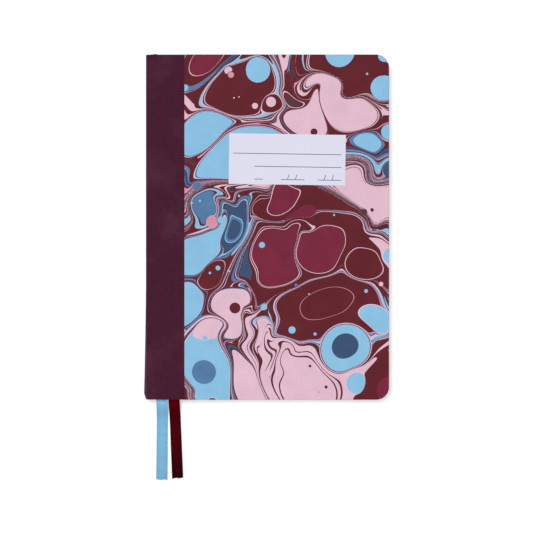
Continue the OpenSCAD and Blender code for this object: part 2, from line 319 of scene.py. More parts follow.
def satin(name, colour, light, dark, near, far):
    """Ribbon: fine ribs across, a rounder painted shine along the middle, and denser edges. Near is
    painted light just past the cover, where the cover's shadow falls, and far is painted shade at the
    cut end."""
    rib_scale, thread_scale = 420, 900
    edge_span, shine_span = (0.0030, 0.0034), (0.0002, 0.0028)
    s = Shader(name, 0.5, Specular_IOR_Level=0.008)
    where = s.place("UV")
    ribs = s.wave(where, rib_scale, "Y", 0.2, 2)
    threads = s.wave(where, thread_scale, "X")
    split = s.add("SeparateXYZ", Vector=where)
    run = split.outputs["Y"]
    from_middle = s.math("ABSOLUTE", s.math("SUBTRACT", split.outputs["X"], RIBBON_W / 2 * MM))
    edge = s.range(from_middle, 0, 1, *edge_span)
    middle = s.range(from_middle, 1, 0, *shine_span)
    # Painted shine: the middle of the ribbon is mixed towards the light colour.
    base = s.mix(s.math("MULTIPLY", middle, 0.35), linear(colour), linear(light))
    base = s.mix(s.math("MULTIPLY", edge, 0.4), base, linear(dark))
    tone = s.range(s.noise(s.place("UV", (60, thread_scale, 1)), 1, 3), 0.92, 1.08, *NOISE_SPAN)
    # Painted light just past the cover, where the cover's shadow falls, and painted shade towards the
    # cut end.
    tone = s.math("MULTIPLY", tone, s.range(run, near, 1, *PAINTED_LIGHT_STRETCH))
    tone = s.math("MULTIPLY", tone, s.range(run, 1, far, *PAINTED_SHADE_STRETCH))
    height = s.math("ADD", s.math("MULTIPLY", ribs, 0.7), s.math("MULTIPLY", threads, 0.2))
    return s.finish(s.shade(base, tone), height, 0.00004)


def leaf_edges(name, colour, dark):
    """Cut edges of many leaves: fine uneven lines of painted shade between them."""
    leaf_scale, layer_scale = 9000, 1600
    s = Shader(name, 0.75, Specular_IOR_Level=0.2)
    leaves = s.noise(s.place("Object", (6, 6, leaf_scale)), 1, 3)
    layers = s.noise(s.place("Object", (2, 2, layer_scale)), 1, 2)
    value = s.math("ADD", s.math("MULTIPLY", leaves, 0.65), s.math("MULTIPLY", layers, 0.35))
    # Painted shade between the leaves: the colour is mixed towards dark.
    base = s.mix(s.range(value, 1, 0, 0.36, 0.52), linear(colour), linear(dark))
    return s.finish(base, value, 0.00005)


INKS = {
    "ground": (97, 34, 42), "plum": (120, 39, 62), "pink": (226, 188, 205), "rose": (220, 148, 170),
    "blue": (139, 192, 225), "slate": (86, 124, 166), "navy": (60, 82, 114), "brown": (88, 52, 58),
}
INK_ORDER = list(INKS)
EVEN_INKS = "blue", "pink"
INK_MATERIALS = [
    paper("ink_" + ink, colour, 0.045 if ink in EVEN_INKS else 0.09, 0.05, 0.55, specular=0.04)
    for ink, colour in INKS.items()
]
# Cloth: colour, worn colour, and the painted shade of the weave's hollows.
CLOTH = book_cloth("book_cloth", (76, 31, 52), (103, 59, 78), (55, 20, 37))
ENDPAPER = paper("endpaper", (236, 231, 220), 0.02, 0.03, 0.7, 0.00002, 30)
# Leaf edges: paper colour, and the painted shade between leaves.
LEAVES = leaf_edges("leaf_edges", (240, 235, 222), (196, 186, 168))
KRAFT = paper("kraft", (168, 132, 96), 0.08, 0.08, 0.75, 0.00004)
GREYBOARD = paper("greyboard", (142, 140, 134), 0.08, 0.12, 0.85, 0.00006)
LABEL = paper("label_paper", (221, 221, 238), 0.012, 0.02, 0.6, 0.00002, 25)
LABEL_INK = paper("label_ink", (98, 95, 112), 0.05, 0.1, 0.6, 0.00001)
# Ribbons: colour, painted shine, edge colour, then painted light past the cover and painted shade at the
# cut end.
BLUE_SATIN = satin("blue_satin", (122, 180, 216), (140, 196, 230), (96, 152, 190), 1.25, 0.9)
RED_SATIN = satin("red_satin", (70, 1, 10), (82, 2, 14), (45, 0, 5), 1.6, 0.35)
BAND_LIGHT = paper("band_light", (214, 200, 176), 0.05, 0.1, 0.7)
BAND_DARK = paper("band_dark", (88, 26, 44), 0.06, 0.1, 0.7)


# Marbling. Drops of colour fall on a bath and push what is already there aside, and a stylus turns
# the colours in whirls. Places are where a drop or whirl ends up on the finished sheet, in units of
# which the paper is UNITS wide, across from the cloth and down from the head. SHEET_ACROSS and
# SHEET_DOWN are the place of the sheet's corner between the cloth and the tail. The sheet is PATTERN_H
# times as high as it is wide.

UNITS = 204.5
SHEET_ACROSS, SHEET_DOWN = 0.5, 345.7
PATTERN_H = 1.6876
TURNS = 4

# Cells, grown together in turns: across, down, radius, ink, and rings of other inks with their shares
CELLS = [
    (22, 6, 22, "plum", ("ground", 0.5), ("pink", 0.03)),
    (54, 38, 29, "ground", ("pink", 0.05), ("brown", 0.05), ("pink", 0.03)),
    (172, 14, 30, "ground", ("pink", 0.03), ("brown", 0.04), ("pink", 0.03)),
    (154, 56, 28, "pink", ("ground", 0.05), ("brown", 0.05), ("pink", 0.04), ("ground", 0.03)),
    (124, 66, 20, "pink", ("ground", 0.06), ("rose", 0.04)),
    (108, 48, 8, "brown", ("pink", 0.2), ("ground", 0.2)), (88, 50, 9, "ground", ("pink", 0.15)),
    (18, 78, 24, "blue", ("ground", 0.09), ("pink", 0.03), ("slate", 0.05)),
    (62, 100, 36, "blue", ("ground", 0.08), ("pink", 0.03), ("slate", 0.03)),
    (184, 88, 14, "blue", ("ground", 0.15), ("slate", 0.25)),
    (194, 146, 24, "pink", ("ground", 0.06), ("brown", 0.05), ("pink", 0.04)),
    (168, 134, 18, "pink", ("ground", 0.08), ("pink", 0.05), ("brown", 0.05)),
    (200, 196, 15, "pink", ("ground", 0.1), ("brown", 0.08)), (100, 150, 14, "ground", ("pink", 0.05)),
    (132, 146, 18, "ground", ("pink", 0.03)), (166, 180, 24, "ground", ("pink", 0.02)),
    (104, 192, 24, "ground", ("pink", 0.03), ("slate", 0.05)),
    (156, 208, 12, "ground", ("pink", 0.06)),
    (52, 172, 17, "navy", ("slate", 0.25), ("ground", 0.06), ("blue", 0.1), ("ground", 0.06)),
    (20, 152, 17, "slate", ("ground", 0.15), ("blue", 0.2), ("ground", 0.08)),
    (62, 214, 13, "navy", ("slate", 0.3), ("ground", 0.1), ("pink", 0.06)),
    (12, 198, 24, "blue", ("slate", 0.06), ("ground", 0.06), ("pink", 0.03)),
    (2, 250, 21, "blue", ("ground", 0.12), ("slate", 0.06), ("pink", 0.03)),
    (28, 222, 13, "ground", ("pink", 0.05), ("brown", 0.1)),
    (138, 250, 20, "ground", ("pink", 0.04), ("slate", 0.12), ("ground", 0.08), ("rose", 0.06),
     ("ground", 0.05)),
    (46, 252, 20, "pink", ("ground", 0.08), ("slate", 0.05), ("pink", 0.05)),
    (24, 274, 15, "pink", ("ground", 0.06), ("rose", 0.08)),
    (78, 274, 14, "pink", ("ground", 0.2), ("pink", 0.1), ("brown", 0.2)),
    (98, 292, 11, "brown", ("ground", 0.2), ("pink", 0.1), ("ground", 0.1)),
    (28, 308, 28, "blue", ("slate", 0.06), ("ground", 0.08), ("pink", 0.03)),
    (66, 336, 25, "pink", ("ground", 0.08), ("navy", 0.08), ("brown", 0.06), ("pink", 0.04)),
    (132, 332, 30, "pink", ("ground", 0.05), ("brown", 0.05)),
    (108, 310, 15, "pink", ("ground", 0.12)), (164, 296, 13, "ground", ("pink", 0.1), ("slate", 0.1)),
    (194, 262, 11, "blue", ("ground", 0.2), ("pink", 0.1)),
    (190, 326, 28, "ground", ("pink", 0.04), ("brown", 0.04)),
]

# Whirls before the cells: across, down, reach, degrees
FIRST_WHIRLS = [
    (46, 156, 50, 60), (166, 106, 50, -60), (116, 296, 50, 60), (36, 56, 45, -60), (66, 236, 45, -60),
    (191, 236, 45, 60), (106, 36, 45, 60),
]

# Rounder drops that fall among the grown cells: across, down, then radius and ink of each drop there
LOBES = [
    (96, 304, (9, "ground"), (14, "pink")), (116, 170, (6, "pink"), (10, "ground")),
    (120, 158, (9, "plum")), (138, 252, (8, "pink"), (8, "slate"), (6, "rose"), (32, "ground")),
    (142, 249, (4.2, "rose"), (20, "ground")), (92, 202, (6, "pink"), (6, "ground"), (26, "plum")),
    (137, 195, (5.5, "pink"), (6, "ground"), (23, "plum")), (180, 210, (5, "pink"), (17, "ground")),
    (99, 146, (5, "pink"), (15, "plum")), (122, 332, (9, "ground"), (28, "pink")),
    (192, 264, (5, "pink"), (14, "blue")), (161, 294, (6, "pink"), (6, "ground"), (20, "blue")),
    (161, 292, (13, "navy")), (50, 176, (4, "blue"), (6, "slate"), (8, "navy")),
]

# Whirls after those drops: across, down, reach, degrees
LAST_WHIRLS = [
    (124.4, 36, 17, 85), (151.6, 36, 17, -85), (53, 142.1, 17, 60), (79, 149.9, 17, -60),
    (57.1, 233.4, 13, 50), (74.9, 222.6, 13, -50), (82.6, 296.7, 15, 60), (93.4, 275.3, 15, -60),
    (20, 152, 22, 120), (203.8, 124.4, 15, 60), (180.2, 119.6, 15, -60), (198, 163, 14, 50),
    (178, 173, 14, -50), (24, 340, 10, 60), (8, 340, 10, -60), (70.2, 271.5, 13, 55),
    (61.8, 252.5, 13, -55), (44, 278, 15, -70), (116, 128, 10, 60), (106.8, 174, 9, 45),
    (121.2, 174, 9, -45), (96.9, 308.9, 10, 60), (105.1, 295.1, 10, -60),
    (92, 290, 14, 50), (110, 300, 12, -40),
]

# Single drops that fall last: across, down, radius, ink
SPOTS = [
    (20, 318, 12, "slate"), (172, 329, 10, "blue"), (207, 336, 14, "plum"), (74, 16, 12.5, "blue"),
    (156, -2, 15, "blue"), (200, 34, 13, "blue"), (200, 2, 6, "blue"), (208, 116, 9, "navy"),
    (205, 78, 8, "blue"), (207, 202, 8, "blue"), (130, 78, 3.5, "ground"), (51, 254, 5.5, "ground"),
    (34, 214, 2.4, "blue"), (45, 217, 1.2, "blue"), (26, 219, 1.3, "blue"), (44, 16, 3.6, "pink"),
    (47, 21, 3, "rose"), (87, 48, 5, "pink"), (71, 52, 3, "pink"), (80, 253, 3.2, "blue"),
    (108, 276, 3.6, "blue"), (21, 284, 2.6, "blue"), (112, 231, 1.6, "slate"), (125, 240, 0.9, "blue"),
    (182, 237, 1.9, "blue"), (197, 230, 2.2, "pink"), (13, 132, 4, "slate"), (55, 142, 1.2, "blue"),
    (150, 161, 1.1, "blue"), (188, 156, 1.8, "ground"), (180, 158, 3, "brown"),
    (142, 333, 1.6, "ground"), (126, 312, 1.4, "ground"), (206, 296, 2, "blue"), (28, 168, 6, "rose"),
    (37, 166, 3.5, "blue"), (78, 191, 3, "blue"), (1, 34, 3.4, "blue"), (50, 44, 0.8, "pink"),
    (55, 43, 0.7, "pink"), (183, 20, 1.2, "blue"), (204, 52, 1.6, "blue"), (131, 280, 1.6, "blue"),
    (16, 147, 1.2, "blue"), (8, 149, 0.9, "pink"), (135, 338, 1, "rose"), (86, 323, 1, "rose"),
]

# Inks of the first small drops, in turn, and those of them that get an eye
VEIN_INKS = ("ground pink ground slate ground brown ground pink navy ground rose "
             "ground slate ground pink ground blue").split()
EYED_INKS = "pink", "slate", "brown"


def veins():
    """Small first drops on a staggered lattice, some with an eye, which the cells squeeze into veins."""
    rows, columns = 13, 9
    shift, middle_radius, spread = 0.025, 0.044, 0.012
    out = []
    for k in range(rows * columns):
        row, column = divmod(k, columns)
        u = (column + 0.5 * (row % 2)) / (columns - 0.5) + shift * math.sin(7.3 * k)
        v = PATTERN_H * row / (rows - 1) + shift * math.cos(5.1 * k)
        ink = VEIN_INKS[(k * 5 + row * 3) % len(VEIN_INKS)]
        radius = middle_radius + spread * math.sin(3.7 * k)
        out.append(("drop", (u, v), radius, ink, True))
        if ink in EYED_INKS:
            out.append(("drop", (u, v), 0.6 * radius, "ground", True))
    return out


def wanted_steps():
    """Every step in its order: kind, the place where it ends up, radius, ink or angle, and whether its
    edge shows."""
    def at(across, down):
        return (across - SHEET_ACROSS) / UNITS, (SHEET_DOWN - down) / UNITS

    def whirls(rows):
        return [("whirl", at(x, y), reach / UNITS, math.radians(a), False) for x, y, reach, a in rows]

    def drops(rows):
        return [("drop", at(x, y), radius / UNITS, ink, True) for x, y, radius, ink in rows]

    lobes = [(x, y, radius, ink) for x, y, *fallen in LOBES for radius, ink in fallen]
    steps = veins() + whirls(FIRST_WHIRLS)
    for turn in range(TURNS):
        for x, y, radius, ink, *rings in CELLS:
            own = (radius / UNITS) ** 2 * (1 - sum(share for _, share in rings)) / TURNS
            if turn == 0:
                for ring, share in rings:
                    steps.append(("drop", at(x, y), radius / UNITS * math.sqrt(share), ring, True))
            steps.append(("drop", at(x, y), math.sqrt(own), ink, turn == 0))
    return steps + drops(lobes) + whirls(LAST_WHIRLS) + drops(SPOTS)


def whirled(points, centre, reach, angle):
    """Points turned about a centre, by the whole angle there and less and less away from it."""
    d = points - centre
    a = angle * np.exp(-(d * d).sum(1) / (reach * reach))
    c, s = np.cos(a), np.sin(a)
    return centre + np.stack([d[:, 0] * c - d[:, 1] * s, d[:, 0] * s + d[:, 1] * c], 1)


def before(points, step):
    """Where points were before a step, and which of them lie in the drop that fell."""
    kind, centre, radius, value, _ = step
    if kind == "whirl":
        return whirled(points, centre, radius, -value), np.zeros(len(points), bool)
    d = points - centre
    d2 = (d * d).sum(1)
    inside = d2 <= radius * radius
    k = np.sqrt(np.where(inside, 1, 1 - radius * radius / np.maximum(d2, 1e-12)))
    return centre + d * k[:, None], inside


def after(points, step):
    """Where a step puts points."""
    kind, centre, radius, value, _ = step
    if kind == "whirl":
        return whirled(points, centre, radius, value)
    d = points - centre
    d2 = np.maximum((d * d).sum(1), 1e-12)
    return centre + d * np.sqrt(1 + radius * radius / d2)[:, None]


def fallen_steps():
    """The steps at the places where they happen, worked out from the last one back."""
    done = []
    for kind, place, radius, value, shown in reversed(wanted_steps()):
        p = np.array([place])
        for later in reversed(done):
            p, _ = before(p, later)
        done.insert(0, (kind, p[0], radius, value, shown))
    return done


def drop_outline(steps, i, fine, gap):
    """Edge of drop i after all later steps. Points are added where the curve is more than fine off the
    chord, or a chord is longer than gap, unless that lies outside the sheet."""
    first_sides, rounds, margin = 24, 9, 0.03
    _, centre, radius, _, _ = steps[i]

    def edge(angles):
        p = np.stack([centre[0] + radius * np.cos(angles), centre[1] + radius * np.sin(angles)], 1)
        for later in steps[i + 1:]:
            p = after(p, later)
        return p

    angles = np.linspace(0, 2 * math.pi, first_sides + 1)
    points = edge(angles)
    check = np.ones(len(angles) - 1, bool)
    for _ in range(rounds):
        k = np.nonzero(check)[0]
        if not len(k):
            break
        ends = points[k], points[k + 1]
        middle_angles = (angles[k] + angles[k + 1]) / 2
        middles = edge(middle_angles)
        off = np.hypot(*(middles - (ends[0] + ends[1]) / 2).T)
        span = np.hypot(*(ends[1] - ends[0]).T)
        past_side = np.abs(middles[:, 0] - 0.5) - 0.5
        past_end = np.abs(middles[:, 1] - PATTERN_H / 2) - PATTERN_H / 2
        near = np.maximum(past_side, past_end) < margin + 0.6 * span
        far = ((off > fine) | (span > gap)) & near
        keep = k[far]
        angles = np.insert(angles, keep + 1, middle_angles[far])
        points = np.insert(points, keep + 1, middles[far], axis=0)
        check = np.zeros(len(angles) - 1, bool)
        first = keep + np.arange(len(keep))
        check[first] = check[first + 1] = True
    return points


def ink_at(steps, points):
    """Ink at each point, found by taking the steps back."""
    found = np.full(len(points), INK_ORDER.index("ground"))
    bare = np.ones(len(points), bool)
    p = points.copy()
    for step in reversed(steps):
        p, inside = before(p, step)
        take = inside & bare
        if take.any():
            found[take] = INK_ORDER.index(step[3])
            bare &= ~take
    return found


def swollen(steps):
    """The steps, in which a later drop of a cell shows its edge where it falls on another ink."""
    steps = list(steps)
    for i, (kind, centre, radius, ink, shown) in enumerate(steps):
        if kind == "drop" and not shown:
            fallen_on = INK_ORDER[ink_at(steps[:i], centre[None])[0]]
            steps[i] = (kind, centre, radius, ink, fallen_on != ink)
    return steps


# Rounding of a cover's edges, and distance between points on the edge of its face
EDGE_R = 0.55
EDGE_STEP = 1.5


def cover_edge(inset):
    """Rounded outline of the paper on a cover, set in from the cover's edges, from the head round to
    the tail."""
    r = CORNER_R - inset
    right, top = FORE_X - inset, HEAD_Y - inset
    arc = [math.radians(90 * k / 14) for k in range(15)]
    points = [(x, top) for x in np.arange(CLOTH_X, right - r, EDGE_STEP)]
    points += [(right - r + r * math.sin(a), top - r + r * math.cos(a)) for a in arc]
    points += [(right, y) for y in np.arange(top - r - EDGE_STEP, r - top, -EDGE_STEP)]
    points += [(right - r + r * math.cos(a), r - top - r * math.sin(a)) for a in arc]
    points += [(x, -top) for x in np.arange(right - r - EDGE_STEP, CLOTH_X, -EDGE_STEP)]
    return points + [(CLOTH_X, -top)]


def inside_cover(points, inset, from_x):
    """Whether points lie inside that outline, from some place across it."""
    x, y = points[:, 0], np.abs(points[:, 1])
    right, top, r = FORE_X - inset, HEAD_Y - inset, CORNER_R - inset
    corner = np.hypot(np.maximum(x - (right - r), 0), np.maximum(y - (top - r), 0)) <= r + 1e-6
    return (x >= from_x - 1e-6) & corner


# How close an ink's outline is drawn, in shares of the sheet's width: off the curve, and from point
# to point.
FINE, GAP = ((0.0005, 0.03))


def marbled_sheet():
    """Flat marbled paper: its points, triangles and inks."""
    steps = swollen(fallen_steps())
    scale = np.array([FORE_X - CLOTH_X, 2 * HEAD_Y / PATTERN_H])
    low = np.array([CLOTH_X, -HEAD_Y])
    points, edges = [], []
    for i, (kind, _, _, _, shown) in enumerate(steps):
        if kind != "drop" or not shown:
            continue
        ring = low + drop_outline(steps, i, FINE, GAP)[:-1] * scale
        near = inside_cover(ring, -EDGE_STEP, CLOTH_X - EDGE_STEP)
        n = len(ring)
        kept = {}
        for k in range(n):
            if near[k] or near[k - 1] or near[(k + 1) % n]:
                kept[k] = len(points)
                points.append(ring[k])
        edges += [(kept[k], kept[(k + 1) % n]) for k in kept if (k + 1) % n in kept]
    border = cover_edge(EDGE_R)
    start = len(points)
    points += border
    edges += [(start + k, start + (k + 1) % len(border)) for k in range(len(border))]
    made = delaunay_2d_cdt([Vector(p) for p in points], edges, [], 0, 1e-4, False)
    flat = np.array([tuple(v) for v in made[0]])
    triangles = np.array([f for f in made[2] if len(f) == 3])
    middle = flat[triangles].mean(1)
    triangles = triangles[inside_cover(middle, EDGE_R, CLOTH_X)]
    inks = ink_at(steps, (flat[triangles].mean(1) - low) / scale)
    used = np.unique(triangles)
    renumber = np.full(len(flat), -1)
    renumber[used] = np.arange(len(used))
    return flat[used], renumber[triangles], inks


def outward(x, y):
    """Direction in which the paper's outline faces at a point near it."""
    dx, dy = max(x - (FORE_X - CORNER_R), 0), max(abs(y) - (HEAD_Y - CORNER_R), 0)
    length = math.hypot(dx, dy)
    if length < 1e-4:
        return 0, 0
    return dx / length, math.copysign(dy / length, y)


def wrap_profile(depth):
    """Inset from the cover's edge and depth below its outer face, from the face round to the turn-in."""
    inner_r = 0.4
    arc = [math.radians(15 * k) for k in range(7)]
    rows = [(EDGE_R * (1 - math.sin(a)), EDGE_R * (1 - math.cos(a))) for a in arc[1:]]
    rows.append((0, depth / 2))
    rows += [(inner_r * (1 - math.cos(a)), depth - inner_r * (1 - math.sin(a))) for a in arc]
    return rows + [(inset, depth) for inset in (1.6, 3, 4.6, 6.4)]


def rim_edges(triangles, inks):
    """Ink beside each edge that only one triangle has."""
    rim = {}
    for triangle, ink in zip(triangles, inks):
        for k in range(3):
            a, b = int(triangle[k]), int(triangle[(k + 1) % 3])
            if (b, a) in rim:
                del rim[(b, a)]
            else:
                rim[(a, b)] = ink
    return rim


def marbled_cover(name, flat, triangles, inks, front):
    """Marbled paper over a cover: wrapped over the board's edges, and cut straight beside the cloth."""
    cut_depth, near = 0.25, 1e-3
    profile = wrap_profile(TURN_DEPTH)
    verts, faces, marks = [], [list(t) for t in triangles], list(inks)
    columns, cut_points = {}, {}

    def add(x, y, depth):
        verts.append((x, y, BOOK_T - depth if front else depth))
        return len(verts) - 1

    def beside_cloth(v):
        return flat[v][0] <= CLOTH_X + near

    def column(v):
        """Points over the board's edge from a point of the rim, or none beside the cloth."""
        if v not in columns:
            x, y = flat[v]
            nx, ny = (0, math.copysign(1, y)) if beside_cloth(v) else outward(x, y)
            columns[v] = None
            if not beside_cloth(v) or abs(y) >= HEAD_Y - EDGE_R - near:
                out = [(EDGE_R - inset, depth) for inset, depth in profile]
                columns[v] = [v] + [add(x + nx * o, y + ny * o, depth) for o, depth in out]
        return columns[v]

    def cut_point(v):
        if v not in cut_points:
            cut_points[v] = add(*flat[v], cut_depth)
        return cut_points[v]

    for x, y in flat:
        add(x, y, 0)
    for (a, b), ink in rim_edges(triangles, inks).items():
        one, two = column(a), column(b)
        if one is None or two is None or (beside_cloth(a) and beside_cloth(b)):
            faces.append([b, a, cut_point(a), cut_point(b)])
            marks.append(ink)
            continue
        for k in range(len(profile)):
            faces.append([two[k], one[k], one[k + 1], two[k + 1]])
            marks.append(ink)
    if not front:
        faces = [f[::-1] for f in faces]
    return link_mesh(name, verts, faces, INK_MATERIALS, marks=marks, sharp=40)


PRINTED_NODES = "paper", "print_blue", "print_slate", "print_pink", "print_plum"
SHEET = marbled_sheet()
for side, _ in SIDES:
    cover = marbled_cover(side + "_marbled_paper", *SHEET, side == "front")
    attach(cover, side + "_cover")
    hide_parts(*[side + "_" + node for node in PRINTED_NODES])


# Cloth from the middle of the spine over the joint to the paper

def bulge(y):
    """How far the spine stands out past its card: nothing at the head, most near the tail."""
    most, begins, span, tail_round = 1.45, 10, HEAD_Y + 6, 3.5
    lean = max((begins - y) / span, 0) ** 2
    return most * lean * min(max((y + HEAD_Y) / tail_round, 0), 1) ** 0.6


# Height above the middle of the spine, share of the bulge there, and height of the turned-in layer
SPINE_PATH = [
    (0, 1, 0), (0.8, 0.97, 0.8), (1.6, 0.86, 1.6), (2.4, 0.66, 2.4), (3.2, 0.4, 3.2), (4, 0.18, 4.1),
    (4.8, 0.06, 5), (5.5, 0, 5.75), (5.58, 0, 5.93),
]
# Out from the card and height: outside of the cloth, then its turned-in layer
JOINT_PATH = [
    (0.05, 6.4, 1.32, 6.06), (0.24, 7, 1.34, 6.11), (0.45, 7.5, 1.38, 6.14), (0.62, 7.9, 1.44, 6.15),
    (0.74, 8.2, 1.5, 6.15), (0.9, 8.42, 1.56, 6.15), (1.12, 8.58, 1.66, 6.15), (1.4, 8.67, 1.8, 6.15),
    (1.75, 8.7, 2, 6.15), (2.2, 8.7, 2.2, 6.15),
]
# How far inside the card's face the turned-in layer lies, room between cloth and card, thickness of the
# cloth, and length of its way round from one layer to the other
TURNED_X, CLOTH_ROOM, CLOTH_T, LAYER_GAP = 1.3, 0.05, 0.28, 2.5


def cloth_section(y):
    """A cut across the cloth: x and height above the middle, of its outside and its turned-in layer."""
    out, turned_x = SPINE_FACE - CLOTH_ROOM, SPINE_FACE + TURNED_X
    b = bulge(y)
    rows = [(out - share * b, h, turned_x, turned) for h, share, turned in SPINE_PATH]
    rows += [(SPINE_FACE + x, h, SPINE_FACE + inner, turned) for x, h, inner, turned in JOINT_PATH]
    across, h, _, turned = JOINT_PATH[-1]
    return rows + [(x, h, x, turned) for x in np.linspace(SPINE_FACE + across, LAP_X, 25)[1:]]


def cloth_stations():
    """Places along the cloth from one turned-in end to the other: y, and share of the way to the
    turned-in layer."""
    top, half_count = HEAD_Y - EDGE_R, 36
    rows = [(HEAD_Y - TURN_IN + (TURN_IN - 1) * k / 4, 1.0) for k in range(5)]
    for k in range(11):
        a = math.radians(18 * k)
        rows.append((top + EDGE_R * math.sin(a), 0.5 + 0.5 * math.cos(a)))
    rows += [(top * (1 - k / half_count), 0.0) for k in range(1, half_count + 1)]
    return rows + [(-y, share) for y, share in reversed(rows[:-1])]


def cloth_half(name, front):
    """Cloth from the middle of the spine to the paper of one cover."""
    stations = cloth_stations()
    verts, uvs = [], []
    count = len(cloth_section(0))
    down = 0
    previous = stations[0]
    for y, share in stations:
        down += math.hypot(y - previous[0], LAYER_GAP * (share - previous[1]))
        previous = y, share
        length = 0
        rows = cloth_section(y)
        for k, (x, h, turned_x, turned_h) in enumerate(rows):
            if k:
                length += math.hypot(x - rows[k - 1][0], h - rows[k - 1][1])
            x += (turned_x - x) * share
            z = h + (turned_h - h) * share
            verts.append((x, y, MID_Z + z if front else MID_Z - z))
            uvs.append((length * MM, down * MM))
    obj = link_mesh(name, verts, grid_faces(len(stations), count, flip=front), [CLOTH], uvs, sharp=60)
    thicken(obj, CLOTH_T, -1)
    return obj


for side, sign in SIDES:
    half = cloth_half(side + "_book_cloth", side == "front")
    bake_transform(half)
    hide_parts(side + "_cloth", *(["spine_cloth"] if side == "front" else []))


# Endpapers, each one sheet folded along the joint: glued to the cover on one side, loose on the other

def half_height(x):
    """From the middle of the book to the head edge of a leaf."""
    r, top = PAGES_R, HEAD_Y - SQUARE
    over = x - (PAGES_FORE - r)
    return top if over <= 0 else top - r + math.sqrt(max(r * r - over * over, 0))


# Thickness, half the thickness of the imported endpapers, rise to the fold, and how deep the glued side
# sinks in. The fold begins FOLD_IN inside a cover's edge, and bends within FOLD_ROOM of its own height.
ENDPAPER_T, HALF_ROOM, FOLD_RISE, SINK = 0.14, 0.075, 0.12, 0.27
FOLD_IN, FOLD_ROOM = 0.25, 0.01


def endpaper(name, front):
    """One endpaper, and the height above the middle of the book at which it folds. The glued side sinks
    in between what the cover has turned in, and the loose side rises a little to the fold."""
    right, r = PAGES_FORE, PAGES_R
    fold_x = COVER_X + FOLD_IN
    turned_x, turned_y = FORE_X - TURN_IN, HEAD_Y - TURN_IN
    xs = [right - r + r * math.sin(math.radians(a)) for a in range(90, 0, -10)]
    xs += list(np.linspace(right - r, turned_x + 1, 4)) + [turned_x + d for d in (0.5, 0, -0.5, -1)]
    xs += list(np.linspace(turned_x - 5, fold_x + 3, 30)) + [fold_x + d for d in (2, 1.2, 0.6, 0.2)]
    edge = turned_y / (HEAD_Y - SQUARE)
    shares = [1, 0.98, 0.94, edge + 0.01, edge + 0.005, edge, edge - 0.005, edge - 0.01]
    shares += list(np.linspace(edge - 0.05, 0, 14))
    shares += [-s for s in reversed(shares[:-1])]
    leaf_h = PAGES_TOP + HALF_ROOM - MID_Z
    paste_h = PASTEDOWN_Z + HALF_ROOM - MID_Z

    def sunk(x, y):
        inside = ramp(0, 1, x - fold_x) * ramp(0, 1, turned_x + 0.5 - x)
        return SINK * inside * ramp(0, 1, turned_y + 0.5 - abs(y))

    rows = [(x, leaf_h + FOLD_RISE * ramp(fold_x, PAGES_X, fold_x + PAGES_X - x), False) for x in xs]
    middle, radius = (leaf_h + FOLD_RISE + paste_h) / 2, (paste_h - leaf_h - FOLD_RISE) / 2
    for k in range(8):
        a = math.radians(180 * k / 7)
        rows.append((fold_x - radius * math.sin(a), middle - radius * math.cos(a), False))
    rows += [(x, paste_h, True) for x in reversed(xs)]
    verts = []
    for x, h, glued in rows:
        top = half_height(max(x, fold_x))
        for share in shares:
            y = top * share
            z = h + (sunk(x, y) if glued else 0)
            verts.append((x, y, MID_Z + z if front else MID_Z - z))
    faces = grid_faces(len(rows), len(shares), flip=not front)
    obj = link_mesh(name, verts, faces, [ENDPAPER], sharp=50)
    thicken(obj, ENDPAPER_T, 0)
    return obj, middle


for side, sign in SIDES:
    sheet, fold_h = endpaper(side + "_endpaper", side == "front")
    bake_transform(sheet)
    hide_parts(side + "_flyleaf", side + "_pastedown")


# Ribbons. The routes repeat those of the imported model: x, y, z, turn on edge in degrees, and share of
# the whole width. A ribbon is glued behind the pages, folds over the head band, lies between leaves and
# falls to the floor past the tail. FALL is how far past the pages, and how much of the height is left.
# From LIFT_FROM past the pages on, a ribbon rises by LIFT to its cut end.

RIBBON_HOLD = 18
BAND_W, BAND_H = 1.4, 1.2
HEAD_X = PAGES_X + 5.3
BAND_Y = PAGES_Y + BAND_H
REST_Z = RIBBON_T / 2 + 0.05
GLUED_Y = PAGES_Y - 0.875 * RIBBON_HOLD
GLUED_Z = (PAGES_Z + PAGES_TOP) / 2
GLUE_ROOM = (PAGES_X - LINING_X - 2 * RIBBON_T) / 4
FALL = [(2.25, 0.99), (4.85, 0.91), (7.4, 0.74), (9.8, 0.51), (12.2, 0.28), (15.1, 0.1), (18.5, 0.02),
        (22.5, 0), (33, 0)]
LIFT, LIFT_FROM = 1.5, 14


def ribbon_route(start, tail_x, z, reach, drift):
    """A whole route from its start, to reach past the pages at the tail, widths in millimetres."""
    rows = list(start)
    y = PAGES_Y - 0.4
    for share in (0, 0.25, 0.5, 0.75, 1):
        rows.append((HEAD_X + share * (tail_x - HEAD_X), y - 2 * share * y, z, 0, 1))
    for out, left in FALL + [((FALL[-1][0] + reach) / 2, 0), (reach, 0)]:
        height = REST_Z + LIFT * ramp(LIFT_FROM, reach, out) + left * (z - REST_Z)
        rows.append((tail_x + drift * out / reach, -PAGES_Y - out, height, 0, 1))
    return [(x, y, z, turn, RIBBON_W * w) for x, y, z, turn, w in rows]


def over_band(z, rows):
    """Rows whose places are written from the back of the pages, the top of the head band, and the
    height at which the ribbon lies between the leaves."""
    return [(PAGES_X + x, BAND_Y + y, z + up, turn, w) for x, y, up, turn, w in rows]


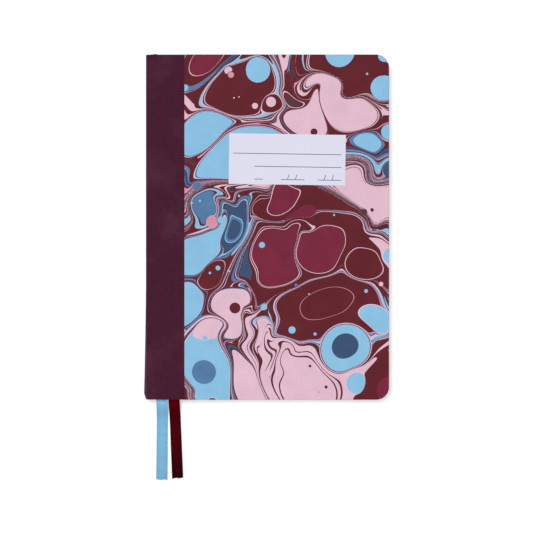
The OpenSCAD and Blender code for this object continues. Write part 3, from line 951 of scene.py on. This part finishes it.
BLUE_Z, RED_Z = PAGES_Z + 0.6 * PAGES_T, PAGES_Z + 0.4 * PAGES_T
BLUE_GLUED = PAGES_X - RIBBON_T / 2 - GLUE_ROOM
RED_GLUED = LINING_X + RIBBON_T / 2 + GLUE_ROOM
BLUE_TAIL, RED_TAIL = PAGES_X + 7.9, PAGES_X + 15.2
BLUE_ROUTE = ribbon_route([
    (BLUE_GLUED, GLUED_Y, GLUED_Z, 90, 1), (BLUE_GLUED, PAGES_Y - 1.75, GLUED_Z, 90, 1),
    (BLUE_GLUED, BAND_Y - 0.65, GLUED_Z, 90, 0.8),
] + over_band(BLUE_Z, [
    (0.1, 0.4, -1.1, 88, 0.63), (BAND_W, 0.65, -0.9, 78, 0.49), (2.7, 0.75, -0.6, 60, 0.43),
    (3.9, 0.75, -0.3, 35, 0.46), (4.8, 0.35, -0.1, 14, 0.51), (5.2, 0.65 - BAND_H, 0, 0, 0.77),
]), BLUE_TAIL, BLUE_Z, reach=54.3, drift=-0.5)
RED_ROUTE = ribbon_route([
    (RED_GLUED, GLUED_Y - 2, GLUED_Z, 90, 1), (RED_GLUED, PAGES_Y - 1.75, GLUED_Z, 90, 1),
    (RED_GLUED, BAND_Y - 0.55, GLUED_Z, 90, 0.86),
] + over_band(RED_Z, [
    (0, 0.95, 1, 88, 0.71), (BAND_W - 0.1, 1.45, 0.8, 75, 0.6), (2.7, 1.45, 0.5, 55, 0.54),
    (4, 1.15, 0.2, 32, 0.54), (4.9, 0.45, 0.05, 12, 0.66), (5.2, 0.75 - BAND_H, 0, 0, 0.86),
]), RED_TAIL, RED_Z, reach=53.3, drift=2.2)


def finer(route, pieces=4):
    """Points on a smooth curve through the route's own."""
    p = np.array(route)
    p = np.vstack([2 * p[0] - p[1], p, 2 * p[-1] - p[-2]])
    out = []
    for i in range(1, len(p) - 2):
        a, b, c, d = p[i - 1], p[i], p[i + 1], p[i + 2]
        scale = np.linalg.norm(c[:3] - b[:3])
        m = (c - a) / max(np.linalg.norm(c[:3] - a[:3]), 1e-6) * scale
        n = (d - b) / max(np.linalg.norm(d[:3] - b[:3]), 1e-6) * scale
        for k in range(pieces):
            t = k / pieces
            out.append((2 * t ** 3 - 3 * t ** 2 + 1) * b + (t ** 3 - 2 * t ** 2 + t) * m
                       + (3 * t ** 2 - 2 * t ** 3) * c + (t ** 3 - t ** 2) * n)
    out.append(p[-2])
    return np.array(out)


def ribbon(name, route, material):
    """A ribbon along a route, a little thicker at its woven edges, with an uneven cut end."""
    rows = finer(route)
    count = 13
    woven_edge, edge_height, height, cut_depth = 0.9, 0.9, 0.75, 0.35
    shares = np.linspace(-1, 1, count)
    verts, uvs = [], []
    run = 0
    for i, (x, y, z, turn, width) in enumerate(rows):
        last, following = rows[max(i - 1, 0)][:3], rows[min(i + 1, len(rows) - 1)][:3]
        along = Vector(following - last).normalized()
        flat = Vector((-along.y, along.x, 0)).normalized()
        side = math.cos(math.radians(turn)) * flat + math.sin(math.radians(turn)) * Vector((0, 0, 1))
        up = along.cross(side).normalized()
        if i:
            run += float(np.linalg.norm(rows[i][:3] - rows[i - 1][:3]))
        end = (i == len(rows) - 1)
        for face in (1, -1):
            for share in (shares if face == 1 else shares[::-1]):
                thick = RIBBON_T / 2 * (edge_height if abs(share) > woven_edge else height) * face
                cut = cut_depth * math.sin(9 * share + x) * math.cos(4 * share) if end else 0
                verts.append(Vector((x, y, z)) + side * (share * width / 2) + up * thick + along * cut)
                uvs.append(((share + 1) / 2 * RIBBON_W * MM, run * MM))
    ring = 2 * count
    faces = grid_faces(len(rows), ring, closed=True)
    for first in (0, (len(rows) - 1) * ring):
        for j in range(count - 1):
            face = [first + j, first + j + 1, first + ring - 2 - j, first + ring - 1 - j]
            faces.append(face if first else face[::-1])
    obj = link_mesh(name, verts, faces, [material], uvs, sharp=50)
    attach(obj, "text_block")
    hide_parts(name.replace("_marker", "_ribbon"))
    return obj


ribbon("blue_marker", BLUE_ROUTE, BLUE_SATIN)
ribbon("red_marker", RED_ROUTE, RED_SATIN)


# Pages: three stacks of leaves that part round the ribbons, by PARTING up and down, and close again
# within PARTED_W beside them

LEAF_T = 0.115
PARTING, PARTED_W = 0.16, 6
STACK_GAP = 0.001


def parted(x, y, z):
    """Height of a leaf's edge, moved where a ribbon lies between the leaves."""
    for tail_x, at_z in ((BLUE_TAIL, BLUE_Z), (RED_TAIL, RED_Z)):
        middle = HEAD_X + (PAGES_Y - y) / (2 * PAGES_Y) * (tail_x - HEAD_X)
        room = PARTING * (1 - ramp(RIBBON_W / 2, RIBBON_W / 2 + PARTED_W, abs(x - middle)))
        if z > at_z:
            z += room * (1 - (z - at_z) / (PAGES_TOP - at_z))
        elif z < at_z:
            z -= room * (1 - (at_z - z) / (at_z - PAGES_Z))
    return z


def block_outline():
    """Outline of the pages, with points close together where the leaves part."""
    right, r = PAGES_FORE, PAGES_R
    arc = [math.radians(90 * k / 8) for k in range(9)]
    head_xs = (*range(-72, -57, 2), -55, -50, -30, 0, 30, 55)
    tail_xs = (55, 30, 0, -30, -42, -48, -51, *range(-54, -73, -2))
    points = [(PAGES_X, y) for y in np.linspace(-PAGES_Y, PAGES_Y, 5)]
    points += [(x, PAGES_Y) for x in head_xs]
    points += [(right - r + r * math.sin(a), PAGES_Y - r + r * math.cos(a)) for a in arc]
    points += [(right, y) for y in np.linspace(PAGES_Y - 20, 20 - PAGES_Y, 12)]
    points += [(right - r + r * math.cos(a), r - PAGES_Y - r * math.sin(a)) for a in arc]
    return points + [(x, -PAGES_Y) for x in tail_xs]


def leaf_stack(name, low, high):
    """Leaves between two heights. Each stands in by a little of its own, and is rounded at its edges."""
    uneven, swell, rounding = 0.05, 0.03, 0.07
    levels = ((0.0, rounding), (0.18, 0), (0.82, 0), (1.0, rounding))
    outline = block_outline()
    count = max(round((high - low) / LEAF_T), 1)
    rng = np.random.default_rng(round(low * 100))
    verts = []
    rings = 0
    for i in range(count):
        jitter = rng.uniform(0, uneven) + swell * (1 + math.sin(i * 0.7))
        for part, dip in levels:
            if part == 1.0 and i < count - 1:
                continue
            z = low + (high - low) * (i + part) / count
            inset = jitter + dip
            for x, y in outline:
                glued = x <= PAGES_X + 0.01
                px, py = x + (0.3 * inset if glued else 0), y
                if x > PAGES_FORE - PAGES_R:
                    px -= inset
                if abs(y) > PAGES_Y - PAGES_R - 0.01 and not glued:
                    py -= math.copysign(inset, y)
                verts.append((px, py, parted(x, y, z)))
            rings += 1
    n = len(outline)
    faces = grid_faces(rings, n, closed=True)
    faces.append(list(range(n)))
    faces.append(list(range((rings - 1) * n, rings * n))[::-1])
    return link_mesh(name, verts, [f[::-1] for f in faces], [LEAVES])


for name, low, high in (("lower_leaves", PAGES_Z, RED_Z - STACK_GAP),
                        ("middle_leaves", RED_Z + STACK_GAP, BLUE_Z - STACK_GAP),
                        ("upper_leaves", BLUE_Z + STACK_GAP, PAGES_TOP)):
    stack = leaf_stack(name, low, high)
    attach(stack, "text_block")
    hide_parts("page_block")


# Head band and tail band, wound with thread in two colours

def wound_band(name, sign):
    """A band at the head or the tail, whose surface swells with each turn of thread."""
    turns, per_turn, least, swell = 24, 6, 0.88, 0.1
    rings = turns * per_turn + 1
    r = BAND_W / 2
    arc = np.linspace(0, math.pi, 9)[1:-1]
    section = [(0, 0), (BAND_W, 0), (BAND_W, BAND_H - r)]
    section += [(r + r * math.cos(a), BAND_H - r + r * math.sin(a)) for a in arc] + [(0, BAND_H - r)]
    n = len(section)
    verts, marks = [], []
    for i in range(rings):
        k = least + swell * abs(math.sin(math.pi * i / per_turn))
        z = PAGES_Z + PAGES_T * i / (rings - 1)
        verts += [(PAGES_X + r + (x - r) * k, sign * (PAGES_Y + y * k), z) for x, y in section]
    for i in range(rings - 1):
        marks += [(i // per_turn) % 2] * n
    faces = grid_faces(rings, n, closed=True, flip=sign < 0)
    ends = [list(range(n))[::-1], list(range((rings - 1) * n, rings * n))]
    faces += [f if sign > 0 else f[::-1] for f in ends]
    marks += [0, 1]
    obj = link_mesh(name, verts, faces, [BAND_DARK, BAND_LIGHT], marks=marks, sharp=50)
    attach(obj, "text_block")
    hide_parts(name.replace("wound_", "") + "_band")


wound_band("wound_head", 1)
wound_band("wound_tail", -1)


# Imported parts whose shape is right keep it, with a better material

for node, material in (("spine_lining", KRAFT), ("spine_card", GREYBOARD), ("front_board", GREYBOARD),
                       ("back_board", GREYBOARD), ("label", LABEL), ("label_ruling", LABEL_INK)):
    part = frame["nodes"][node]
    if not part.data.materials:
        part.data.materials.append(material)
    for index in range(len(part.data.materials)):
        part.data.materials[index] = material


# Floor, lamp and world

FLOOR_Z, FLOOR_REACH = -0.05, 4000
FLOOR_GREY, FLOOR_GLOW = 0.68, 0.42
SUN_ENERGY, SUN_ANGLE, SUN_WAY = 2.05, 16, (0.13, -0.13, -1)
SKY_LIGHT, SKY_SEEN = 0.35, 1.0


def add_floor():
    """Floor that takes the book's shadow, with a glow that only the camera, a mirror or glass sees."""
    material = bpy.data.materials.new("floor")
    tree = Nodes(material)
    tree.nodes.clear()
    diffuse = tree.add("BsdfDiffuse", Color=(FLOOR_GREY, FLOOR_GREY, FLOOR_GREY, 1))
    glow = tree.add("Emission", Strength=tree.math("MULTIPLY", tree.straight_ray(), FLOOR_GLOW))
    both = tree.add("AddShader")
    tree.put(both, 0, diffuse.outputs[0])
    tree.put(both, 1, glow.outputs[0])
    tree.add("OutputMaterial", Surface=both.outputs[0])
    ends = ((-1, -1), (1, -1), (1, 1), (-1, 1))
    verts = [(x * FLOOR_REACH, y * FLOOR_REACH, FLOOR_Z) for x, y in ends]
    link_mesh("floor", verts, [[0, 1, 2, 3]], [material])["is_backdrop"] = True


def add_light():
    """A wide sun, nearly overhead, and a white sky that gives less light than it shows."""
    data = bpy.data.lights.new("key", "SUN")
    data.energy = SUN_ENERGY
    data.angle = math.radians(SUN_ANGLE)
    key = bpy.data.objects.new("key", data)
    bpy.context.scene.collection.objects.link(key)
    key.rotation_euler = Vector(SUN_WAY).to_track_quat("-Z", "Y").to_euler()
    world = bpy.data.worlds.new("world")
    tree = Nodes(world)
    sky = tree.nodes["Background"]
    tree.put(sky, "Color", (1, 1, 1, 1))
    tree.put(sky, "Strength", tree.range(tree.straight_ray(), SKY_LIGHT, SKY_SEEN, 0, 1))
    bpy.context.scene.world = world


add_floor()
add_light()
bpy.context.scene.view_settings.view_transform = "Standard"

low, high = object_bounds()
